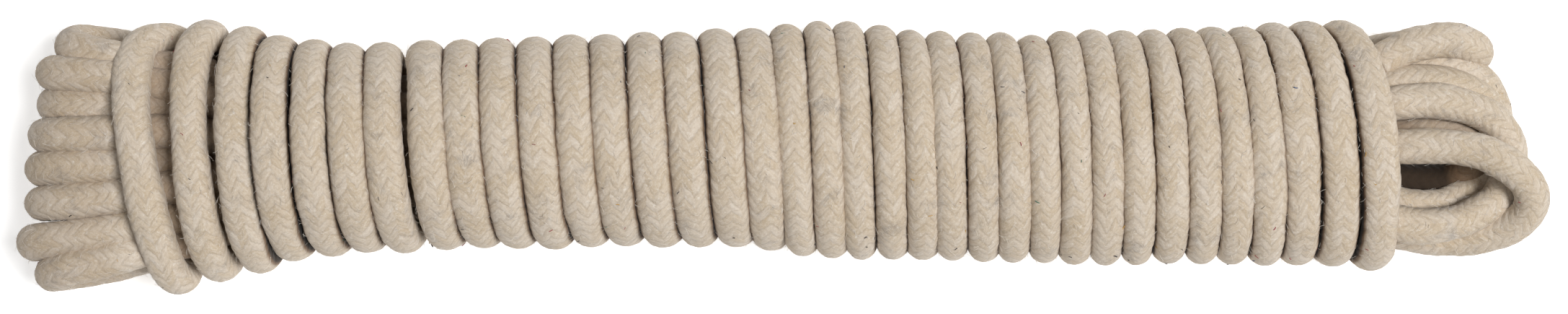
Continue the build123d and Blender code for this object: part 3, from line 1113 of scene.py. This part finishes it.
def grown(name, tree, values):
    """A plain mesh object that a geometry nodes tree makes with these named values."""
    base = bpy.data.objects.new(name + "_seed", bpy.data.meshes.new(name + "_seed"))
    bpy.context.collection.objects.link(base)
    modifier = base.modifiers.new("Grow", "NODES")
    modifier.node_group = tree
    for item in tree.interface.items_tree:
        if item.in_out == "INPUT" and item.name in values:
            modifier[item.identifier] = values[item.name]
    graph = bpy.context.evaluated_depsgraph_get()
    mesh = bpy.data.meshes.new_from_object(base.evaluated_get(graph))
    base.modifiers.clear()
    bpy.data.objects.remove(base)
    piece = bpy.data.objects.new(name, mesh)
    mesh.name = name
    bpy.context.collection.objects.link(piece)
    return piece


# ---------------------------------------------------------------- what a user may change

def length(name, description, default):
    return FloatProperty(name=name, description=description, default=default, unit="LENGTH")


def colour(name, description, default):
    return FloatVectorProperty(name=name, description=description, default=default, subtype="COLOR")


class DockLineSizes(bpy.types.PropertyGroup):
    """Sizes of the line's surface."""
    diameter: length("Line Diameter", "Diameter of the line where nothing squeezes it", 0.0082)
    braid_pitch: length("Braid Pitch", "Length of one V of the braid", 0.0027)
    relief: length("Braid Relief", "Depth of the grooves between strands", 0.00016)
    lumps: length("Lumps", "How uneven the line's thickness is", 0.00016)
    turn_fill: FloatProperty(name="Turn Fill", description="Width of a turn as a share of the pitch",
                             default=1.09, subtype="FACTOR")
    fibre_length: length("Fibre Length", "Length of the loose fibres", 0.0013)
    fibre_width: length("Fibre Width", "Thickness of the loose fibres", 0.00006)
    fibres: FloatProperty(name="Fibres per Square Metre", description="How thickly loose fibres stand",
                          default=88000.0)
    fleck_length: length("Fleck Length", "Length of the coloured specks", 0.0008)
    fleck_width: length("Fleck Width", "Thickness of the coloured specks", 0.00022)
    flecks: FloatProperty(name="Flecks per Square Metre", description="How many coloured specks there are",
                          default=4200.0)
    twine: length("Whipping Twine", "Thickness of the whipping twine", 0.0005)
    twine_turns: IntProperty(name="Whipping Turns", description="Turns of twine in each whipping",
                             default=17)


class DockLineColours(bpy.types.PropertyGroup):
    """Colours of the cotton, the twine and the floor, and of the painted shade and shadow on the cotton.
    """
    cream: colour("Cream Strand", "The lighter strands", (0.61, 0.525, 0.43))
    straw: colour("Straw Strand", "The yellower strands", (0.51, 0.405, 0.28))
    lint: colour("Lint", "Bleached fibres that lie on the braid", (0.72, 0.67, 0.60))
    loose: colour("Loose Fibre", "The bleached fibres that stand off the braid", (0.84, 0.79, 0.72))
    grey: colour("Handled Grey", "Grey tint where the line was handled", (0.27, 0.245, 0.225))
    shade: colour("Shaded Strand", "The duller fibres of a strand", (0.40, 0.31, 0.21))
    # Painted shade in the grooves between strands; the same colour also marks darker streaks along the
    # fibres.
    groove: colour("Groove", "Between the strands", (0.20, 0.14, 0.09))
    # Painted shade: the tint that darkens the cotton where shade falls between turns and loops.
    painted_shade_tint: colour("Painted Shade Tint", "Painted shade on the cotton where less light falls", (0.36, 0.27, 0.20))
    # Painted shadow: near-black colour for the deepest meetings of turns and the eye of the largest loop.
    painted_deep_shadow: colour("Painted Deep Shadow", "Deep between the turns and loops", (0.035, 0.022, 0.013))
    twine: colour("Twine", "The whipping twine", (0.62, 0.56, 0.44))
    floor: colour("Floor", "The pale floor", (0.88, 0.88, 0.88))


def settings():
    return bpy.context.scene.dock_line_sizes, bpy.context.scene.dock_line_colours


def covers():
    """The collection of cover pieces, on which the fibres and flecks lie."""
    return bpy.data.collections.get("Covers") or bpy.data.collections.new("Covers")


def finished_cover(piece, colours, nodes):
    piece.data.materials.append(cotton_material(colours))
    covers().objects.link(piece)
    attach(piece, BODY)
    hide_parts(*nodes)


# ---------------------------------------------------------------- operators

class DOCKLINE_OT_lay_covers(bpy.types.Operator):
    """Make the braided cover of the long lays, their folds and their loops"""
    bl_idname = "dockline.lay_covers"
    bl_label = "Lay Covers"

    def execute(self, context):
        sizes, colours = settings()
        replaced = (["lay_bundle"] + [f"left_fold_{n + 1}" for n in range(len(LEFT_FOLDS))],
                    [f"right_loop_{n + 1}" for n in range(len(RIGHT_LOOPS))]
                    + ["winding_lead", "inner_end"])
        for name, span, nodes in zip(("cover_lays_first", "cover_lays_second"),
                                     lay_cover_stretches(), replaced):
            piece = tube_mesh(name, [lay_stretch(*span, sizes)], sizes)
            finished_cover(piece, colours, nodes)
        return {"FINISHED"}


class DOCKLINE_OT_turn_covers(bpy.types.Operator):
    """Make the braided cover of the binding turns and the tail"""
    bl_idname = "dockline.turn_covers"
    bl_label = "Turn Covers"

    def execute(self, context):
        sizes, colours = settings()
        names = ("cover_turns_first", "cover_turns_second", "cover_turns_third", "cover_turns_fourth")
        replaced = (["first_turn", "tail_end"], ["second_turn", "shoulder_turns"],
                    ["waist_turns"], ["belly_turns", "end_turns"])
        for name, spans, nodes in zip(names, turn_cover_stretches(len(names)), replaced):
            piece = tube_mesh(name, [turn_stretch(*span, sizes) for span in spans], sizes)
            finished_cover(piece, colours, nodes)
        return {"FINISHED"}


class DOCKLINE_OT_whippings(bpy.types.Operator):
    """Wind the twine whippings of the two cut ends"""
    bl_idname = "dockline.whippings"
    bl_label = "Whippings"

    def execute(self, context):
        sizes, colours = settings()
        twine = twine_material(colours)
        for name, node in (("whipping_tail", "tail_whipping"), ("whipping_inner", "inner_whipping")):
            low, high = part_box(node)
            piece = grown(name, whipping_tree(), {
                "Turns": float(sizes.twine_turns), "Line Radius": sizes.diameter / 2,
                "Twine": sizes.twine, "Length": high[0] - low[0],
                "Start": (low[0], (low[1] + high[1]) / 2, (low[2] + high[2]) / 2),
                "Material": twine})
            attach(piece, BODY)
            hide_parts(node)
        return {"FINISHED"}


class DOCKLINE_OT_loose_fibres(bpy.types.Operator):
    """Scatter the loose fibres and the coloured flecks over the covers"""
    bl_idname = "dockline.loose_fibres"
    bl_label = "Loose Fibres"

    def execute(self, context):
        sizes, colours = settings()
        kinds = (
            ("loose_fibres", sizes.fibres, sizes.fibre_length, sizes.fibre_width, 0.30, SEED,
             lint_material(colours)),
            ("fibre_flecks", sizes.flecks, sizes.fleck_length, sizes.fleck_width, 0.03, SEED + 1,
             fleck_material()),
        )
        for name, density, length, width, lift, seed, material in kinds:
            piece = grown(name, fibre_tree(), {
                "Covers": covers(), "Fibres per Square Metre": density, "Length": length,
                "Width": width, "Lift": lift, "Seed": seed, "Material": material})
            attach(piece, BODY)
        return {"FINISHED"}


class DOCKLINE_OT_core(bpy.types.Operator):
    bl_idname = "dockline.core"
    bl_label = "Core"

    def execute(self, context):
        _, colours = settings()
        points, line, _ = rope_route()
        curve = nurbs_curve("core", points)
        curve.resolution_u = ROUTE_STEPS // 4
        curve.bevel_depth = CORE_WIDTH / 2
        curve.bevel_resolution = 1
        curve.use_fill_caps = True
        core = bpy.data.objects.new("core", curve)
        context.collection.objects.link(core)
        core.data.materials.append(yarn_material(colours))
        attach(core, BODY)
        pieces = [*covers().objects] + [bpy.data.objects[name] for name in (
            "whipping_tail", "whipping_inner", "loose_fibres", "fibre_flecks")]
        return {"FINISHED"}


def area_light(name, place, power):
    """A square light that points at the hank."""
    light = bpy.data.lights.new(name, "AREA")
    light.shape = "SQUARE"
    light.size = LIGHT_SIZE
    light.energy = power
    holder = bpy.data.objects.new(name, light)
    bpy.context.collection.objects.link(holder)
    holder.location = place
    holder.rotation_euler = (-holder.location).to_track_quat("-Z", "Y").to_euler()


class DOCKLINE_OT_stage(bpy.types.Operator):
    """Lay the plain floor, and set the soft light and the camera above the hank"""
    bl_idname = "dockline.stage"
    bl_label = "Stage"

    def execute(self, context):
        _, colours = settings()
        bpy.ops.mesh.primitive_plane_add(size=6.0, location=(0, 0, 0))
        floor = context.object
        floor.name = "floor"
        material, tree, shader = plain_material("Pale Floor", 0.95, 0.1)
        cloud = texture(tree, "Noise", object_place(tree), Scale=3.0, Detail=1.0)
        cloud = times(tree, cloud, 0.04)
        two_toned(tree, shader, cloud, colours.floor, (0.8, 0.8, 0.8))
        shader.inputs["Emission Color"].default_value = (1.0, 1.0, 1.0, 1)
        shader.inputs["Emission Strength"].default_value = FLOOR_LIGHT
        floor.data.materials.append(material)

        area_light(*KEY_LIGHT)
        area_light(*FILL_LIGHT)
        world = bpy.data.worlds.new("soft_studio")
        world.use_nodes = True
        world.node_tree.nodes["Background"].inputs[0].default_value = (1.0, 1.0, 1.0, 1)
        world.node_tree.nodes["Background"].inputs[1].default_value = WORLD_LIGHT
        context.scene.world = world
        context.scene.view_settings.view_transform = "Standard"

        camera = bpy.data.cameras.new("camera")
        camera.lens = CAMERA_LENS
        camera.sensor_width = CAMERA_SENSOR
        camera.clip_start = 0.01
        holder = bpy.data.objects.new("camera", camera)
        context.collection.objects.link(holder)
        holder.location = CAMERA_PLACE
        context.scene.camera = holder
        return {"FINISHED"}


class DOCKLINE_PT_panel(bpy.types.Panel):
    """The dock line's pieces, in the order in which they are made"""
    bl_label = "Coiled Dock Line"
    bl_idname = "DOCKLINE_PT_panel"
    bl_space_type = "VIEW_3D"
    bl_region_type = "UI"
    bl_category = "Dock Line"

    def draw(self, context):
        for group in (context.scene.dock_line_sizes, context.scene.dock_line_colours):
            for name in group.bl_rna.properties.keys():
                if name not in ("rna_type", "name"):
                    self.layout.prop(group, name)
        for operator in OPERATORS:
            self.layout.operator(operator.bl_idname)


OPERATORS = (DOCKLINE_OT_lay_covers, DOCKLINE_OT_turn_covers, DOCKLINE_OT_whippings,
             DOCKLINE_OT_loose_fibres, DOCKLINE_OT_core, DOCKLINE_OT_stage)
CLASSES = (DockLineSizes, DockLineColours, *OPERATORS, DOCKLINE_PT_panel)


def register():
    for known in CLASSES:
        bpy.utils.register_class(known)
    bpy.types.Scene.dock_line_sizes = PointerProperty(type=DockLineSizes)
    bpy.types.Scene.dock_line_colours = PointerProperty(type=DockLineColours)


def unregister():
    del bpy.types.Scene.dock_line_colours
    del bpy.types.Scene.dock_line_sizes
    for known in reversed(CLASSES):
        bpy.utils.unregister_class(known)


def main():
    register()
    bpy.ops.dockline.lay_covers()
    bpy.ops.dockline.turn_covers()
    bpy.ops.dockline.whippings()
    bpy.ops.dockline.loose_fibres()
    bpy.ops.dockline.core()
    bpy.ops.dockline.stage()


if __name__ == "__main__":
    main()
